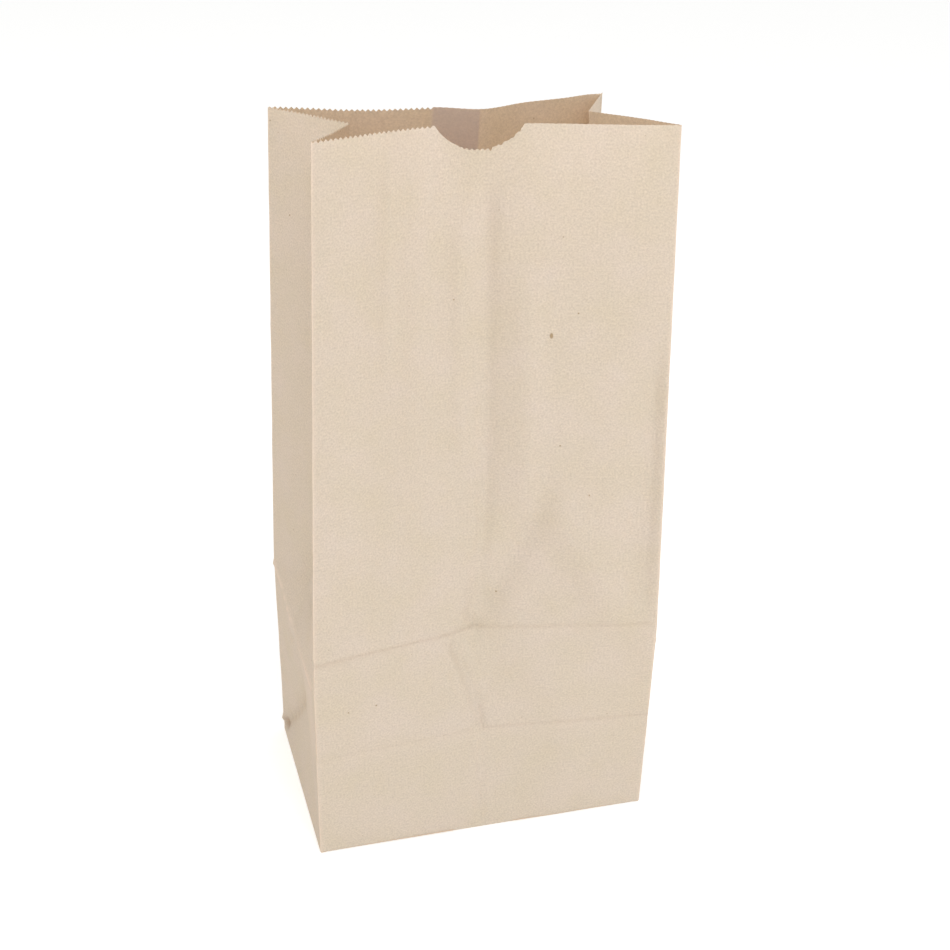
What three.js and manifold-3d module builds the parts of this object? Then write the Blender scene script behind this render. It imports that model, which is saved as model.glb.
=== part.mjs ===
// A brown kraft paper lunch bag, standing open: one sheet of paper, folded and glued.
//
// The sheet is rolled to a tube with a centre-creased gusset in each side, and its lower end is folded
// shut as a flat rectangular bottom. The wall is described as the sheet's own columns (fold edges and
// centre creases), each with a point on every crease row. The quads between them are the folded facets.
// The top ones carry the saw-cut edge and the thumb notch. The folded surface is then given the
// thickness of the paper, and the bottom plies and the lap of the back seam are joined on.
//
// Millimetres. +Z is up, the front panel (the one with the notch) faces -Y, the bottom rests on z = 0.

import * as THREE from "three";
import { mergeVertices, mergeGeometries } from "three/addons/utils/BufferGeometryUtils.js";
import Module from "manifold-3d";

// Driving dimensions of the folded bag.
const WIDTH = 133.4;
const DEPTH = 87.3;
const HEIGHT = 277.8;
const PAPER = 0.12;

// The saw-cut top edge and the thumb notch in the front panel.
const TOOTH_PITCH = 1.96;
const TOOTH_HEIGHT = 0.8;
const NOTCH_LEFT = 0.373;
const NOTCH_RIGHT = 0.607;
const NOTCH_DEPTH = 9;

// The glued lap of the back seam, measured from the back panel's left edge as seen from the front.
const SEAM_LEFT = 0.445;
const SEAM_RIGHT = 0.565;

// The bottom: how far the trapezoid flaps reach past the middle line, how much shorter the side plies
// are, and the plies' heights. Glued plies bite a little into each other.
const FLAP_OVERLAP = 11;
const SIDE_PLY_SHORT = 0.6;
const OUTER_FLAP_Z = 0;
const INNER_FLAP_Z = PAPER;
const FLOOR_Z = 2 * PAPER;
const INSIDE_Z = 3 * PAPER;
const GLUE_BITE = 0.02;

const HALF_W = WIDTH / 2;
const HALF_D = DEPTH / 2;

const KRAFT = new THREE.MeshStandardMaterial({ color: 0xd9c7ae, roughness: 0.9, metalness: 0 });

const at = (x, y, z) => new THREE.Vector3(x, y, z);

// Each column of the sheet, from the bottom up: on the bottom edge, on the crease half a depth up, on
// the crease one depth up, just above that crease, and on the top edge.
const frontLeftEdge = [
  at(-66, -HALF_D, FLOOR_Z),
  at(-66.8, -44.6, HALF_D),
  at(-66.7, -46.2, 87),
  at(-66.5, -46.3, 98),
  at(-61, -46.3, 277.4),
];
const frontRightEdge = [
  at(66, -HALF_D, FLOOR_Z),
  at(66.6, -47.2, HALF_D),
  at(65.9, -51.5, 87.2),
  at(66, -51.6, 98),
  at(63.2, -50.2, 277.3),
];
const frontCentre = [
  at(-0.6, -43.2, FLOOR_Z),
  at(-0.6, -38.4, 43.4),
  at(-0.9, -35, 86.6),
  at(-0.9, -34.6, 98),
  at(-2, -31.6, 277),
];
const rightGussetCrease = [
  at(66.2, 0, FLOOR_Z),
  at(63, -0.5, HALF_D),
  at(65.8, -1, 80),
  at(58.5, -2, 97),
  at(44, -11.4, 274.6),
];
const backRightEdge = [
  at(66.4, HALF_D, FLOOR_Z),
  at(66.9, 44.2, HALF_D),
  at(66.6, 43.2, 86),
  at(66.5, 42.6, 98),
  at(62.8, 26.4, 272.8),
];
const backLeftEdge = [
  at(-66.4, HALF_D, FLOOR_Z),
  at(-67, 44.4, HALF_D),
  at(-67.3, 43.5, 85.6),
  at(-67.2, 42.6, 98),
  at(-63.6, 28.6, 273),
];
const leftGussetCrease = [
  at(-66.2, 0, FLOOR_Z),
  at(-62.6, 0, HALF_D),
  at(-66.4, 1, 78),
  at(-58.4, -1.5, 97),
  at(-40.8, -8, 274),
];
const LAST_ROW = frontLeftEdge.length - 1;

// Both broad panels are pressed inward between their edges. The front one is bent about its soft
// centre crease low down and bowed at the top, where it is given by these inward pushes.
const FRONT_TOP_BOW = [
  { share: 0.2, push: 8.6 },
  { share: NOTCH_LEFT, push: 18.4 },
  { share: NOTCH_RIGHT, push: 12.4 },
  { share: 0.8, push: 6.2 },
];
const BACK_TOP_BOW = [
  { share: 0.2, push: 10.3 },
  { share: SEAM_LEFT, push: 13.3 },
  { share: SEAM_RIGHT, push: 18 },
  { share: 0.83, push: 11.2 },
];

// A column that lies part of the way from one column to another.
const between = (from, to, share) => from.map((point, row) => point.clone().lerp(to[row], share));

// Front panel columns left and right of the centre crease are straight between edge and crease below
// the top, and follow the bow on the top edge.
function frontColumn({ share, push }) {
  const column =
    share < 0.5
      ? between(frontLeftEdge, frontCentre, share * 2)
      : between(frontCentre, frontRightEdge, share * 2 - 1);
  const chord = frontLeftEdge[LAST_ROW].clone().lerp(frontRightEdge[LAST_ROW], share);
  column[LAST_ROW].y = chord.y + push;
  return { share, column };
}

function backColumn({ share, push }) {
  const column = between(backLeftEdge, backRightEdge, share);
  column[LAST_ROW].y -= push;
  return { share, column };
}

// The columns of each panel, with their share of its width, in order round the bag as seen from above:
// anticlockwise from the front left edge, so that every strip's outside is on its right hand.
const frontColumns = [
  { share: 0, column: frontLeftEdge },
  ...FRONT_TOP_BOW.map(frontColumn),
  { share: 0.5, column: frontCentre },
  { share: 1, column: frontRightEdge },
].sort((a, b) => a.share - b.share);
const rightColumns = [
  { share: 0, column: frontRightEdge },
  { share: 0.5, column: rightGussetCrease },
  { share: 1, column: backRightEdge },
];
const backColumns = [
  { share: 1, column: backRightEdge },
  ...BACK_TOP_BOW.map(backColumn).reverse(),
  { share: 0, column: backLeftEdge },
];
const leftColumns = [
  { share: 0, column: backLeftEdge },
  { share: 0.5, column: leftGussetCrease },
  { share: 1, column: frontLeftEdge },
];

// The strips between a panel's columns. `start` is how far a strip lies from the panel's first edge.
function panelStrips(columns, panelWidth, notched = false) {
  return columns.slice(1).map((to, index) => {
    const from = columns[index];
    const width = Math.abs(to.share - from.share) * panelWidth;
    return { left: from.column, right: to.column, width, start: from.share * panelWidth, notched };
  });
}

const strips = [
  ...panelStrips(frontColumns, WIDTH, true),
  ...panelStrips(rightColumns, DEPTH),
  ...panelStrips(backColumns, WIDTH),
  ...panelStrips(leftColumns, DEPTH),
];

// How far the cut edge lies below the straight top line at a distance along a strip. The notch is a
// circular bite in the front panel, centred between its two ends.
const notchHalf = ((NOTCH_RIGHT - NOTCH_LEFT) * WIDTH) / 2;
const notchMiddle = ((NOTCH_LEFT + NOTCH_RIGHT) / 2) * WIDTH;
const notchRadius = (notchHalf ** 2 + NOTCH_DEPTH ** 2) / (2 * NOTCH_DEPTH);
function notchDrop(strip, along) {
  if (!strip.notched) return 0;
  const reach = Math.min(Math.abs(strip.start + along - notchMiddle), notchHalf);
  return Math.sqrt(notchRadius ** 2 - reach ** 2) - (notchRadius - NOTCH_DEPTH);
}

// The top outline of a strip, from its right end to its left: a tooth tip at every whole pitch and a
// gullet between each two tips, all measured in the flat sheet.
function cutOutline(strip, height) {
  const teeth = Math.max(1, Math.round(strip.width / TOOTH_PITCH));
  const outline = [];
  for (let step = 2 * teeth; step >= 0; step -= 1) {
    const along = (strip.width * step) / (2 * teeth);
    const tooth = step % 2 === 0 ? 0 : TOOTH_HEIGHT;
    outline.push(new THREE.Vector2(along, height - notchDrop(strip, along) - tooth));
  }
  return outline;
}

// One facet: a flat outline of the sheet, triangulated as a shape and laid into the quad that its four
// corners make when the sheet is folded.
function facet(strip, row, outline, height) {
  const shape = new THREE.Shape(outline);
  const geometry = new THREE.ShapeGeometry(shape);
  const position = geometry.attributes.position;
  for (let index = 0; index < position.count; index += 1) {
    const across = position.getX(index) / strip.width;
    const up = position.getY(index) / height;
    const low = strip.left[row].clone().lerp(strip.right[row], across);
    const high = strip.left[row + 1].clone().lerp(strip.right[row + 1], across);
    const folded = low.lerp(high, up);
    position.setXYZ(index, folded.x, folded.y, folded.z);
  }
  geometry.deleteAttribute("normal");
  geometry.deleteAttribute("uv");
  return geometry.toNonIndexed();
}

// A facet without a cut edge is split along one diagonal. In the gussets' lowest row that diagonal is
// the crease from the bottom corner up to the point where the centre crease begins.
function creasedQuad(strip, row) {
  const corners = [strip.left[row], strip.right[row], strip.right[row + 1], strip.left[row + 1]];
  const fromLeft = strip.right !== backRightEdge && strip.right !== frontLeftEdge;
  const order = fromLeft ? [0, 1, 2, 0, 2, 3] : [0, 1, 3, 1, 2, 3];
  const geometry = new THREE.BufferGeometry();
  geometry.setFromPoints(order.map((corner) => corners[corner]));
  return geometry;
}

function stripGeometry(strip) {
  const parts = [];
  for (let row = 0; row < LAST_ROW - 1; row += 1) parts.push(creasedQuad(strip, row));
  const topRow = LAST_ROW - 1;
  const height = HEIGHT - frontLeftEdge[topRow].z;
  const outline = [
    new THREE.Vector2(0, 0),
    new THREE.Vector2(strip.width, 0),
    ...cutOutline(strip, height),
  ];
  parts.push(facet(strip, topRow, outline, height));
  return mergeGeometries(parts);
}

// Gives a folded surface the paper's thickness. Every corner moves half a thickness to each side along
// its mean normal, lengthened so that the plies keep their gap round a fold. Free edges get a rim.
function thicken(surface, thickness) {
  const merged = mergeVertices(surface, 1e-3);
  const index = Array.from(merged.index.array);
  const points = [];
  for (let i = 0; i < merged.attributes.position.count; i += 1) {
    points.push(new THREE.Vector3().fromBufferAttribute(merged.attributes.position, i));
  }
  const normalsAt = points.map(() => []);
  const triangle = new THREE.Triangle();
  const edgeUse = new Map();
  for (let t = 0; t < index.length; t += 3) {
    const ring = index.slice(t, t + 3);
    triangle.set(...ring.map((i) => points[i]));
    const normal = triangle.getNormal(new THREE.Vector3());
    ring.forEach((i, k) => {
      const next = ring[(k + 1) % 3];
      normalsAt[i].push(normal);
      const back = `${next}_${i}`;
      if (edgeUse.has(back)) edgeUse.delete(back);
      else edgeUse.set(`${i}_${next}`, [i, next]);
    });
  }
  const offsets = normalsAt.map((normals) => {
    const mean = normals.reduce((sum, n) => sum.add(n), new THREE.Vector3()).normalize();
    const spread = normals.reduce((sum, n) => sum + n.dot(mean), 0) / normals.length;
    return mean.multiplyScalar(thickness / 2 / Math.max(spread, 0.3));
  });
  const outer = points.map((point, i) => point.clone().add(offsets[i]));
  const inner = points.map((point, i) => point.clone().sub(offsets[i]));
  const count = points.length;
  const faces = [...index];
  for (let t = 0; t < index.length; t += 3) {
    faces.push(index[t + 2] + count, index[t + 1] + count, index[t] + count);
  }
  for (const [from, to] of edgeUse.values()) {
    faces.push(to, from, from + count, to, from + count, to + count);
  }
  const solid = new THREE.BufferGeometry();
  solid.setFromPoints([...outer, ...inner]);
  solid.setIndex(faces);
  return solid;
}

// A flat ply of the bottom: an outline in the XY plane, raised between two heights.
function ply(outline, low, high) {
  const shape = new THREE.Shape(outline.map(([x, y]) => new THREE.Vector2(x, y)));
  const geometry = new THREE.ExtrudeGeometry(shape, { depth: high - low, bevelEnabled: false });
  geometry.deleteAttribute("normal");
  geometry.deleteAttribute("uv");
  return geometry.translate(0, 0, low);
}

// The bottom's corners, and the trapezoid flaps folded in from its long sides. Their slanting edges run
// at 45 degrees from the corners, and each flap ends past the middle line.
const corner = {
  frontLeft: [frontLeftEdge[0].x, frontLeftEdge[0].y],
  frontRight: [frontRightEdge[0].x, frontRightEdge[0].y],
  backRight: [backRightEdge[0].x, backRightEdge[0].y],
  backLeft: [backLeftEdge[0].x, backLeftEdge[0].y],
};
const flapReach = HALF_D + FLAP_OVERLAP;
const outerFlap = [
  corner.frontLeft,
  [frontCentre[0].x, frontCentre[0].y],
  corner.frontRight,
  [corner.frontRight[0] - flapReach, FLAP_OVERLAP],
  [corner.frontLeft[0] + flapReach, FLAP_OVERLAP],
];
const innerFlap = [
  corner.backRight,
  corner.backLeft,
  [corner.backLeft[0] + flapReach, -FLAP_OVERLAP],
  [corner.backRight[0] - flapReach, -FLAP_OVERLAP],
];

// The two side plies were folded in first and lie on the flaps inside the bag, as full rectangles.
const sideReach = flapReach - SIDE_PLY_SHORT;
const sidePly = (side, front, back) => [
  front,
  [front[0] - side * sideReach, front[1]],
  [back[0] - side * sideReach, back[1]],
  back,
];

function bottomPlies() {
  return [
    ply(innerFlap, INNER_FLAP_Z, FLOOR_Z + GLUE_BITE),
    ply(outerFlap, OUTER_FLAP_Z, FLOOR_Z + GLUE_BITE),
    ply(sidePly(-1, corner.frontLeft, corner.backLeft), FLOOR_Z - GLUE_BITE, INSIDE_Z),
    ply(sidePly(1, corner.frontRight, corner.backRight), FLOOR_Z - GLUE_BITE, INSIDE_Z),
  ];
}

// The back seam: the sheet's other margin, lapped on the inside of the back panel over its full height.
function seamLap() {
  const lap = backColumns
    .filter(({ share }) => share === SEAM_LEFT || share === SEAM_RIGHT)
    .map(({ share, column }) => ({
      share,
      column: column.map((point) => point.clone().setY(point.y - PAPER + GLUE_BITE)),
    }));
  return thicken(mergeGeometries(panelStrips(lap, WIDTH).map(stripGeometry)), PAPER);
}

// Solids, joined where their plies meet.
const wasm = await Module();
wasm.setup();

function toManifold(geometry) {
  const merged = mergeVertices(geometry, 1e-4);
  return new wasm.Manifold(
    new wasm.Mesh({
      numProp: 3,
      vertProperties: Float32Array.from(merged.attributes.position.array),
      triVerts: Uint32Array.from(merged.index.array),
    }),
  );
}

function toGeometry(manifold) {
  const mesh = manifold.getMesh();
  const geometry = new THREE.BufferGeometry();
  geometry.setAttribute("position", new THREE.BufferAttribute(mesh.vertProperties, mesh.numProp));
  geometry.setIndex(new THREE.BufferAttribute(mesh.triVerts, 1));
  geometry.computeVertexNormals();
  return geometry;
}

const wall = thicken(mergeGeometries(strips.map(stripGeometry)), PAPER);
let bag = toManifold(wall);
for (const solid of [...bottomPlies(), seamLap()]) bag = bag.add(toManifold(solid));

const paperBag = new THREE.Mesh(toGeometry(bag), KRAFT);
paperBag.name = "paper_bag";

const group = new THREE.Group();
group.add(paperBag);

export default group;
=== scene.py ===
import math

import bpy
import numpy as np
from mathutils import Matrix, Vector


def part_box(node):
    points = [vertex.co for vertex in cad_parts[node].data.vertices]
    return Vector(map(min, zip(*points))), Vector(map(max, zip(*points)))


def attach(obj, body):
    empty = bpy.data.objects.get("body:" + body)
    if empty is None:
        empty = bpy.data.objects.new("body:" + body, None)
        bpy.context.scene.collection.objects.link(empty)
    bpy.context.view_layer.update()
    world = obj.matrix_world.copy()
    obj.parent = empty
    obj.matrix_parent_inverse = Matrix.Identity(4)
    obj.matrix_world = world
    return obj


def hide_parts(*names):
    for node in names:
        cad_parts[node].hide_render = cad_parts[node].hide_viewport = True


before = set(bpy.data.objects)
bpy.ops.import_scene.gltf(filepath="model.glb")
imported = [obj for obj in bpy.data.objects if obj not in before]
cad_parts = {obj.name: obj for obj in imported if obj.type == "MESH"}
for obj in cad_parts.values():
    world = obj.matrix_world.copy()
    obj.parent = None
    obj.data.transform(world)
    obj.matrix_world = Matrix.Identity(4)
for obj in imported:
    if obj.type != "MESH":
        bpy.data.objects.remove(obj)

bl_info = {
    "name": "Kraft Paper Lunch Bag",
    "version": (1, 0, 0),
    "blender": (4, 5, 0),
    "location": "View3D > Sidebar > Lunch Bag",
    "description": "Folds a standing kraft paper lunch bag out of one sheet and lights it in a pale studio",
    "category": "Object",
}

MM = 0.001
CAD_NODE = "paper_bag"
CAD_LOW, CAD_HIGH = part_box(CAD_NODE)

# ---------------------------------------------------------------------------------------------------
# The flat sheet, in millimetres. `s` runs across it and `v` up it, with v = 0 on the bottom fold.
# From its inner margin, hidden under the lap of the back seam, the sheet goes to the left along the
# back panel, round the left gusset, the front panel and the right gusset, and back to its outer margin.

WIDTH = 133.4
DEPTH = 87.3
HEIGHT = 277.8
HALF_W = WIDTH / 2
HALF_D = DEPTH / 2

# Half the length of the bottom, and the depth of the flaps that are folded in under it and end a
# little past its middle line.
BOTTOM_X = 66.4
FLAP_OVERLAP = 11
FLAP = HALF_D + FLAP_OVERLAP

# The lap of the back seam, in shares of the back panel from its left edge, as seen from the front.
LAP_LEFT = 0.445
LAP_RIGHT = 0.565
LAP_WIDTH = (LAP_RIGHT - LAP_LEFT) * WIDTH

# Places of the folds along the sheet.
S_BACK_LEFT = LAP_RIGHT * WIDTH
S_LEFT_CREASE = S_BACK_LEFT + HALF_D
S_FRONT_LEFT = S_BACK_LEFT + DEPTH
S_FRONT_RIGHT = S_FRONT_LEFT + WIDTH
S_RIGHT_CREASE = S_FRONT_RIGHT + HALF_D
S_BACK_RIGHT = S_FRONT_RIGHT + DEPTH
S_END = S_BACK_RIGHT + (1 - LAP_LEFT) * WIDTH
S_FOLDS = (S_BACK_LEFT, S_LEFT_CREASE, S_FRONT_LEFT, S_FRONT_RIGHT, S_RIGHT_CREASE, S_BACK_RIGHT)
S_EDGES = (S_BACK_LEFT, S_FRONT_LEFT, S_FRONT_RIGHT, S_BACK_RIGHT)

# Panels, in their order along the sheet.
BACK_IN, LEFT, FRONT, RIGHT, BACK_OUT = range(5)
PANEL_ENDS = (0.0, S_BACK_LEFT, S_FRONT_LEFT, S_FRONT_RIGHT, S_BACK_RIGHT, S_END)

# Both ends of the thumb notch, in shares of the front panel.
NOTCH_LEFT = 0.373
NOTCH_RIGHT = 0.607
NOTCH_HALF = (NOTCH_RIGHT - NOTCH_LEFT) * HALF_W
NOTCH_MIDDLE = (NOTCH_LEFT + NOTCH_RIGHT) * HALF_W

# ---------------------------------------------------------------------------------------------------
# The folded form: each panel is drawn between crease rows. A row is a list of points, each with its
# distance across the panel, its height up the sheet, and the place x, y, z where the fold puts it. A
# folded row turns sharply at its points, and a curved one runs smoothly through them.

FRONT_ROWS = (
    ("folded", ((0, 0, -66.4, -43.65, 0), (HALF_W, 0, -0.5, -43.1, 0), (WIDTH, 0, 66.4, -43.65, 0))),
    ("folded", ((0, HALF_D, -66.9, -44.4, 43.4), (HALF_W, HALF_D, -0.6, -38.3, 43.4),
                (WIDTH, HALF_D, 66.6, -47.2, 44.4))),
    ("folded", ((0, DEPTH, -66.7, -46.2, 86.8), (HALF_W, DEPTH, -0.9, -34.8, 86.6),
                (WIDTH, DEPTH, 65.8, -51.6, 88))),
    ("curved", ((0, 104, -66.3, -46.3, 103.4), (0.25 * WIDTH, 104, -34, -40, 103.2),
                (HALF_W, 104, -1.2, -35.4, 103.2), (0.72 * WIDTH, 104, 28.2, -41.5, 103.7),
                (WIDTH, 104, 65.6, -51.6, 104.2))),
    ("curved", ((0, HEIGHT, -61, -46.3, 277.4), (0.2 * WIDTH, HEIGHT, -37.3, -36.2, 276.9),
                (NOTCH_LEFT * WIDTH, HEIGHT, -16, -27.6, 276), (HALF_W, HEIGHT, -1.3, -31.2, 276.8),
                (NOTCH_RIGHT * WIDTH, HEIGHT, 12.7, -36.8, 277.5),
                (0.8 * WIDTH, HEIGHT, 37.5, -43.6, 277.4), (WIDTH, HEIGHT, 63.2, -50.2, 277.3))),
)
BACK_ROWS = (
    ("folded", ((0, 0, -66.4, 43.65, 0), (WIDTH, 0, 66.4, 43.65, 0))),
    ("curved", ((0, HALF_D, -67, 44.3, 43.5), (HALF_W, HALF_D, 0, 43.6, 43.6),
                (WIDTH, HALF_D, 66.9, 44.2, 43.5))),
    ("curved", ((0, DEPTH, -67.3, 43.5, 87), (HALF_W, DEPTH, 0, 41.2, 87), (WIDTH, DEPTH, 66.6, 43.2, 87))),
    ("curved", ((0, HEIGHT, -63.6, 28.6, 273), (12, HEIGHT, -52.4, 24, 273.1),
                (26, HEIGHT, -39.2, 17.9, 273.1), (44, HEIGHT, -21.8, 14.8, 273),
                (59.5, HEIGHT, -6, 14.3, 272.9), (77, HEIGHT, 11.7, 8.9, 272.6),
                (84, HEIGHT, 17.6, 10.2, 272.8), (93, HEIGHT, 26, 12.9, 273.2),
                (111, HEIGHT, 44.7, 15.6, 273.8), (122, HEIGHT, 55, 18.6, 274),
                (127.6, HEIGHT, 60.2, 20.6, 273.6), (WIDTH, HEIGHT, 62.8, 26.4, 272.8))),
)
# In both gussets the second row is the pair of 45 degree creases that rise from the bottom corners to
# the apex, the third is the ridge where the lower part still stands out, and above it the sides fall
# into the V of the centre crease.
LEFT_ROWS = (
    ("folded", ((0, 0, -66.4, 43.65, 0), (DEPTH, 0, -66.4, -43.65, 0))),
    ("folded", ((0, 0, -66.4, 43.65, 0), (HALF_D, HALF_D, -62.6, 0, 43.7), (DEPTH, 0, -66.4, -43.65, 0))),
    ("folded", ((0, 86, -67.3, 43.5, 85.4), (26, 85.4, -67.2, 17.6, 84.9), (HALF_D, 78, -66.6, 1, 77.4),
                (82, 77, -66.8, -40, 76.5), (DEPTH, 77, -66.75, -46, 76.7))),
    ("folded", ((0, 97, -67.2, 42.6, 96.8), (HALF_D, 97, -58.4, -1.5, 96.8),
                (DEPTH, 97, -66.5, -46.3, 96.6))),
    ("folded", ((0, HEIGHT, -63.6, 28.6, 273), (20, HEIGHT, -52.6, 11.6, 273.6),
                (HALF_D, HEIGHT, -40.8, -8, 274), (66, HEIGHT, -50.4, -28, 275.8),
                (DEPTH, HEIGHT, -61, -46.3, 277.4))),
)
RIGHT_ROWS = (
    ("folded", ((0, 0, 66.4, -43.65, 0), (DEPTH, 0, 66.4, 43.65, 0))),
    ("folded", ((0, 0, 66.4, -43.65, 0), (HALF_D, HALF_D, 62.9, -0.5, 43.7), (DEPTH, 0, 66.4, 43.65, 0))),
    ("folded", ((0, 80, 66.1, -50.8, 80.4), (18, 80, 66.2, -33, 79.8), (HALF_D, 80, 65.9, -1.2, 79.4),
                (68, 85, 66.9, 23, 84.6), (DEPTH, 86, 66.7, 43.3, 85.6))),
    ("folded", ((0, 98, 65.7, -51.6, 98.6), (HALF_D, 98, 58.5, -2, 97.6), (DEPTH, 98, 66.5, 42.6, 97.6))),
    ("folded", ((0, HEIGHT, 63.2, -50.2, 277.3), (17, HEIGHT, 56.6, -35, 276.3),
                (HALF_D, HEIGHT, 44, -11.4, 274.6), (65, HEIGHT, 53.6, 7.6, 273.8),
                (DEPTH, HEIGHT, 62.8, 26.4, 272.8))),
)


def curve_through(across, knots, values):
    """A smooth curve through the points of a row, with slopes taken from each point's neighbours."""
    slopes = np.gradient(values, knots, axis=0)
    cell = np.clip(np.searchsorted(knots, across, side="right") - 1, 0, len(knots) - 2)
    span = (knots[cell + 1] - knots[cell])[:, None]
    t = (across - knots[cell])[:, None] / span
    near = (2 * t**3 - 3 * t**2 + 1) * values[cell] + (t**3 - 2 * t**2 + t) * span * slopes[cell]
    far = (3 * t**2 - 2 * t**3) * values[cell + 1] + (t**3 - t**2) * span * slopes[cell + 1]
    return near + far


def row_at(row, across):
    """Height up the sheet and place in space of one row, at distances across its panel."""
    kind, points = row
    table = np.array(points, float)
    if kind == "curved":
        return curve_through(across, table[:, 0], table[:, 1:])
    return np.stack([np.interp(across, table[:, 0], table[:, k]) for k in range(1, 5)], axis=1)


def panel_place(rows, across, up):
    """The folded place of points of one panel: straight up the sheet from crease row to crease row."""
    levels = np.stack([row_at(row, across) for row in rows])
    heights = levels[:, :, 0]
    cell = np.clip((up[None, :] >= heights).sum(0) - 1, 0, len(rows) - 2)
    each = np.arange(len(across))
    low = levels[cell, each]
    high = levels[cell + 1, each]
    rise = np.maximum(high[:, 0] - low[:, 0], 1e-6)
    t = ((up - low[:, 0]) / rise)[:, None]
    return low[:, 1:] + (high[:, 1:] - low[:, 1:]) * t


def smooth_step(x):
    """Rises softly from 0 to 1 as x does."""
    x = np.clip(x, 0, 1)
    return x * x * (3 - 2 * x)


def bell(distance, half):
    """1 on a line, falling softly to nothing beyond its half width."""
    return np.exp(-((distance / half) ** 2))


# The bottom plies lie on each other: the front flap outermost, the back flap on it, and the two side
# plies on both, inside the bag. Each comes up to its height over a short way from its fold.
FRONT_FLAP_Z = 0.0
BACK_FLAP_Z = 0.2
SIDE_PLY_Z = 0.45
PLY_RISE = 5


def flap_place(panel, across, depth):
    """The folded place of points below the bottom fold. Front and back flaps narrow at 45 degrees."""
    lift = smooth_step(depth / PLY_RISE)
    if panel in (LEFT, RIGHT):
        side = -1 if panel == LEFT else 1
        y = (across - HALF_D) * side
        return np.stack([side * (BOTTOM_X - depth), y, SIDE_PLY_Z * lift], axis=1)
    half = BOTTOM_X - depth
    x = (2 * across / WIDTH - 1) * half
    if panel == FRONT:
        return np.stack([x, -HALF_D + depth, FRONT_FLAP_Z * lift], axis=1)
    return np.stack([x, HALF_D - depth, BACK_FLAP_Z * lift], axis=1)


PANEL_ROWS = (BACK_ROWS, LEFT_ROWS, FRONT_ROWS, RIGHT_ROWS, BACK_ROWS)


def across_panel(panel, s):
    """Distance across a panel from its own left or first edge."""
    if panel == BACK_IN:
        return S_BACK_LEFT - s
    if panel == BACK_OUT:
        return WIDTH - (s - S_BACK_RIGHT)
    return s - PANEL_ENDS[panel]


def sheet_place(s, v, home):
    """The folded place of sheet points. Below the bottom fold a point stays on its home panel."""
    below = v < 0
    low = np.array(PANEL_ENDS)[home]
    high = np.array(PANEL_ENDS)[home + 1]
    s = np.where(below, np.clip(s, low, high), np.clip(s, 0, S_END))
    panel = np.clip(np.searchsorted(PANEL_ENDS, s, side="right") - 1, 0, 4)
    panel = np.where(below, home, panel)
    place = np.empty((len(s), 3))
    for number, rows in enumerate(PANEL_ROWS):
        on_wall = (panel == number) & ~below
        if on_wall.any():
            across = across_panel(number, s[on_wall])
            place[on_wall] = panel_place(rows, across, v[on_wall])
        on_flap = (panel == number) & below
        if on_flap.any():
            across = across_panel(number, s[on_flap])
            place[on_flap] = flap_place(number, across, -v[on_flap])
    return place


# ---------------------------------------------------------------------------------------------------
# Softness of the folds, and the small dents and buckles of a bag that has been opened by hand.

# How far the paper is bent over: across the sheet at a fold and elsewhere, and up the sheet at the
# bottom fold, at a crease, at a gusset's ridge and at the row above the front panel's crease. The front
# panel's centre crease is the softest, and starts a little above the bottom.
FOLD_RADIUS = 0.7
PANEL_RADIUS = 0.6
BOTTOM_RADIUS = 0.8
CREASE_RADIUS = 1.3
RIDGE_RADIUS = 3.0
ROW_RADIUS = 5
CENTRE_RADIUS = 9
CENTRE_HALF = 14
CENTRE_START = 20
CENTRE_RISE = 60
RIDGE_UP = 97
RIDGE_SPREAD = 7
ROW_UP = 104
ROW_SPREAD = 6

# A small patch of sheet to average over: steps of the radius, and their weights.
STENCIL = ((-1, 1 / 16), (-0.5, 4 / 16), (0, 6 / 16), (0.5, 4 / 16), (1, 1 / 16))


def rounding(s, v):
    """How far the paper is bent over at each point, across the sheet and up it."""
    across = np.full_like(s, PANEL_RADIUS)
    front = (s > S_FRONT_LEFT) & (s < S_FRONT_RIGHT)
    middle = bell(s - S_FRONT_LEFT - HALF_W, CENTRE_HALF) * smooth_step((v - CENTRE_START) / CENTRE_RISE)
    across = np.where(front, FOLD_RADIUS + CENTRE_RADIUS * middle, across)
    distance = np.min([np.abs(s - fold) for fold in S_FOLDS], axis=0)
    across = np.minimum(across, FOLD_RADIUS + np.maximum(distance - 2, 0))
    up = CREASE_RADIUS + (BOTTOM_RADIUS - CREASE_RADIUS) * (1 - smooth_step((v - 2) / 6))
    gusset = ((s > S_BACK_LEFT) & (s < S_FRONT_LEFT)) | ((s > S_FRONT_RIGHT) & (s < S_BACK_RIGHT))
    up = np.where(gusset, up + RIDGE_RADIUS * bell(v - RIDGE_UP, RIDGE_SPREAD), up)
    up = np.where(front, up + ROW_RADIUS * bell(v - ROW_UP, ROW_SPREAD), up)
    return across, up


def rounded_place(s, v, home):
    """Folded places averaged over a small patch of sheet, which bends the paper round its creases."""
    across, up = rounding(s, v)
    across = np.where(v < 0, 0, across)
    place = np.zeros((len(s), 3))
    for ds, weight_s in STENCIL:
        for dv, weight_v in STENCIL:
            place += weight_s * weight_v * sheet_place(s + ds * across, v + dv * up, home)
    return place


def line_distance(s, v, line):
    """Distance of each point from a broken line on the sheet."""
    best = np.full_like(s, np.inf)
    for (s0, v0), (s1, v1) in zip(line, line[1:]):
        ds = s1 - s0
        dv = v1 - v0
        t = np.clip(((s - s0) * ds + (v - v0) * dv) / (ds**2 + dv**2), 0, 1)
        best = np.minimum(best, np.hypot(s - s0 - t * ds, v - v0 - t * dv))
    return best


def on_front(across, up):
    """A place on the sheet, from a distance across the front panel and a height up it."""
    return (S_FRONT_LEFT + across, up)


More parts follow.
